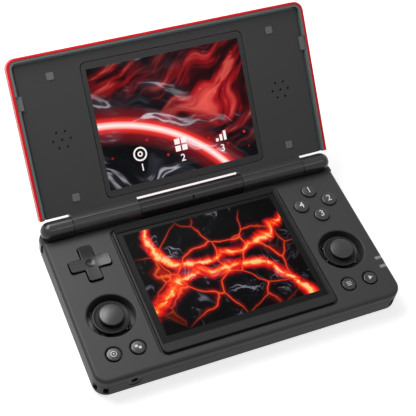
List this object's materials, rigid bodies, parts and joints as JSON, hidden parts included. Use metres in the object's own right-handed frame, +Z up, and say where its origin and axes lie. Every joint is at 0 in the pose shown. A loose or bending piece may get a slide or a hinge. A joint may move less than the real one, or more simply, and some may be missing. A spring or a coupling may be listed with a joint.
{
  "type": "clamshell handheld game console",
  "caption": "Clamshell handheld game console with two screens, twin sticks, direction pad, face buttons, shoulder buttons and a barrel-hinged lid, standing open.",
  "frame": {"origin": "centre of the footprint of the open console, lid included, on the surface that its feet stand on", "axes": "+X to the player's right, +Y away from the player, +Z up; millimetre model, metres in this record"},
  "size_m": [0.1616, 0.1488, 0.0798],
  "materials": {
    "housing": "soft-touch charcoal, fine texture",
    "barrel": "smooth charcoal with a soft sheen",
    "bezel": "smooth charcoal",
    "button": "smooth dark grey with white markings",
    "stick": "black grip rubber",
    "red_shell": "red, satin gloss",
    "rim": "grey, satin",
    "face": "charcoal, fine texture",
    "glass": "clear gloss over a black border",
    "display": "display, red and black picture",
    "pad": "grey rubber",
    "foot": "black rubber",
    "black": "black moulding",
    "board": "black solder mask",
    "cell": "dark film wrap",
    "steel": "bright steel",
    "ivory": "off-white acetal",
    "light_guide": "translucent grey"
  },
  "bodies": {
    "base": {"base_top_shell": "housing", "base_bottom_shell": "housing", "lower_bezel": "bezel", "lower_touch_glass": "glass", "lower_display": "display", "main_board": "board", "battery": "cell", "mid_barrel": "barrel", "left_end_cap": "barrel", "right_end_cap": "barrel", "hinge_pins": "steel", "button_pins": "steel", "headphone_jack": "black", "usb_socket": "steel", "light_guides": "light_guide", "rubber_feet": "foot", "case_screws": "steel", "stick_trays": "black", "dpad_cradle": "ivory", "contact_pads": "pad"},
    "lid": {"lid_outer_shell": "red_shell", "lid_inner_rim": "rim", "lid_front_panel": "face", "upper_glass": "glass", "upper_display": "display", "left_speaker": "black", "right_speaker": "black", "lid_pads": "pad", "lid_side_bumpers": "pad"},
    "dpad_spider": {"dpad_spider": "steel"},
    "dpad": {"dpad": "button"},
    "button_north": {"button_north": "button"},
    "button_east": {"button_east": "button"},
    "button_south": {"button_south": "button"},
    "button_west": {"button_west": "button"},
    "key_home": {"key_home": "button"},
    "key_swap": {"key_swap": "button"},
    "key_menu": {"key_menu": "button"},
    "key_play": {"key_play": "button"},
    "left_stick_carriage": {"left_stick_carriage": "steel"},
    "left_stick_yoke": {"left_stick_yoke": "ivory"},
    "left_stick": {"left_stick": "stick"},
    "right_stick_carriage": {"right_stick_carriage": "steel"},
    "right_stick_yoke": {"right_stick_yoke": "ivory"},
    "right_stick": {"right_stick": "stick"},
    "bumper_left": {"bumper_left": "button"},
    "bumper_right": {"bumper_right": "button"},
    "trigger_left": {"trigger_left": "button"},
    "trigger_right": {"trigger_right": "button"},
    "volume_rocker": {"volume_rocker": "button"},
    "power_button": {"power_button": "button"}
  },
  "joints": [
    {"name": "lid_hinge", "type": "hinge", "parent": "base", "child": "lid", "pos_m": [0, 0.0122, 0.01684], "axis": [1, 0, 0], "range_deg": [-35, 134.2]},
    {"name": "button_north_press", "type": "slide", "parent": "base", "child": "button_north", "axis": [0, 0, 1], "range_m": [-0.0008, 0], "stiffness_N_per_m": 60, "springref_m": 0.0006},
    {"name": "button_east_press", "type": "slide", "parent": "base", "child": "button_east", "axis": [0, 0, 1], "range_m": [-0.0008, 0], "stiffness_N_per_m": 60, "springref_m": 0.0006},
    {"name": "button_south_press", "type": "slide", "parent": "base", "child": "button_south", "axis": [0, 0, 1], "range_m": [-0.0008, 0], "stiffness_N_per_m": 60, "springref_m": 0.0006},
    {"name": "button_west_press", "type": "slide", "parent": "base", "child": "button_west", "axis": [0, 0, 1], "range_m": [-0.0008, 0], "stiffness_N_per_m": 60, "springref_m": 0.0006},
    {"name": "key_home_press", "type": "slide", "parent": "base", "child": "key_home", "axis": [0, 0, 1], "range_m": [-0.0005, 0], "stiffness_N_per_m": 60, "springref_m": 0.0006},
    {"name": "key_swap_press", "type": "slide", "parent": "base", "child": "key_swap", "axis": [0, 0, 1], "range_m": [-0.0005, 0], "stiffness_N_per_m": 60, "springref_m": 0.0006},
    {"name": "key_menu_press", "type": "slide", "parent": "base", "child": "key_menu", "axis": [0, 0, 1], "range_m": [-0.0005, 0], "stiffness_N_per_m": 60, "springref_m": 0.0006},
    {"name": "key_play_press", "type": "slide", "parent": "base", "child": "key_play", "axis": [0, 0, 1], "range_m": [-0.0005, 0], "stiffness_N_per_m": 60, "springref_m": 0.0006},
    {"name": "dpad_tilt_fore_aft", "type": "hinge", "parent": "base", "child": "dpad_spider", "pos_m": [-0.0616, -0.0103, 0.009], "axis": [1, 0, 0], "range_deg": [-3, 3], "stiffness_Nm_per_rad": 0.002},
    {"name": "dpad_tilt_sideways", "type": "hinge", "parent": "dpad_spider", "child": "dpad", "pos_m": [-0.0616, -0.0103, 0.009], "axis": [0, 1, 0], "range_deg": [-3, 3], "stiffness_Nm_per_rad": 0.002},
    {"name": "left_stick_click", "type": "slide", "parent": "base", "child": "left_stick_carriage", "axis": [0, 0, 1], "range_m": [-0.0005, 0], "stiffness_N_per_m": 200, "springref_m": 0.0006},
    {"name": "left_stick_fore_aft", "type": "hinge", "parent": "left_stick_carriage", "child": "left_stick_yoke", "pos_m": [-0.0616, -0.0411, 0.0072], "axis": [1, 0, 0], "range_deg": [-10, 10], "stiffness_Nm_per_rad": 0.002},
    {"name": "left_stick_sideways", "type": "hinge", "parent": "left_stick_yoke", "child": "left_stick", "pos_m": [-0.0616, -0.0411, 0.0072], "axis": [0, 1, 0], "range_deg": [-10, 10], "stiffness_Nm_per_rad": 0.002},
    {"name": "right_stick_click", "type": "slide", "parent": "base", "child": "right_stick_carriage", "axis": [0, 0, 1], "range_m": [-0.0005, 0], "stiffness_N_per_m": 200, "springref_m": 0.0006},
    {"name": "right_stick_fore_aft", "type": "hinge", "parent": "right_stick_carriage", "child": "right_stick_yoke", "pos_m": [0.0616, -0.0411, 0.0072], "axis": [1, 0, 0], "range_deg": [-10, 10], "stiffness_Nm_per_rad": 0.002},
    {"name": "right_stick_sideways", "type": "hinge", "parent": "right_stick_yoke", "child": "right_stick", "pos_m": [0.0616, -0.0411, 0.0072], "axis": [0, 1, 0], "range_deg": [-10, 10], "stiffness_Nm_per_rad": 0.002},
    {"name": "bumper_right_press", "type": "hinge", "parent": "base", "child": "bumper_right", "pos_m": [0.067, 0.0134, 0.0088], "axis": [0, 0, 1], "range_deg": [-3, 0], "stiffness_Nm_per_rad": 0.01, "springref_deg": 2.86},
    {"name": "bumper_left_press", "type": "hinge", "parent": "base", "child": "bumper_left", "pos_m": [-0.067, 0.0134, 0.0088], "axis": [0, 0, 1], "range_deg": [0, 3], "stiffness_Nm_per_rad": 0.01, "springref_deg": -2.86},
    {"name": "trigger_left_press", "type": "hinge", "parent": "base", "child": "trigger_left", "pos_m": [-0.053, 0.0155, 0.0097], "axis": [1, 0, 0], "range_deg": [-12, 0], "stiffness_Nm_per_rad": 0.0004, "springref_deg": 11.46},
    {"name": "trigger_right_press", "type": "hinge", "parent": "base", "child": "trigger_right", "pos_m": [0.053, 0.0155, 0.0097], "axis": [1, 0, 0], "range_deg": [-12, 0], "stiffness_Nm_per_rad": 0.0004, "springref_deg": 11.46},
    {"name": "volume_rocker_tilt", "type": "hinge", "parent": "base", "child": "volume_rocker", "pos_m": [0.0781, -0.0084, 0.0085], "axis": [0, 0, 1], "range_deg": [-1.5, 1.5], "stiffness_Nm_per_rad": 0.005},
    {"name": "power_button_press", "type": "slide", "parent": "base", "child": "power_button", "axis": [1, 0, 0], "range_m": [-0.0004, 0], "stiffness_N_per_m": 60, "springref_m": 0.0006}
  ]
}
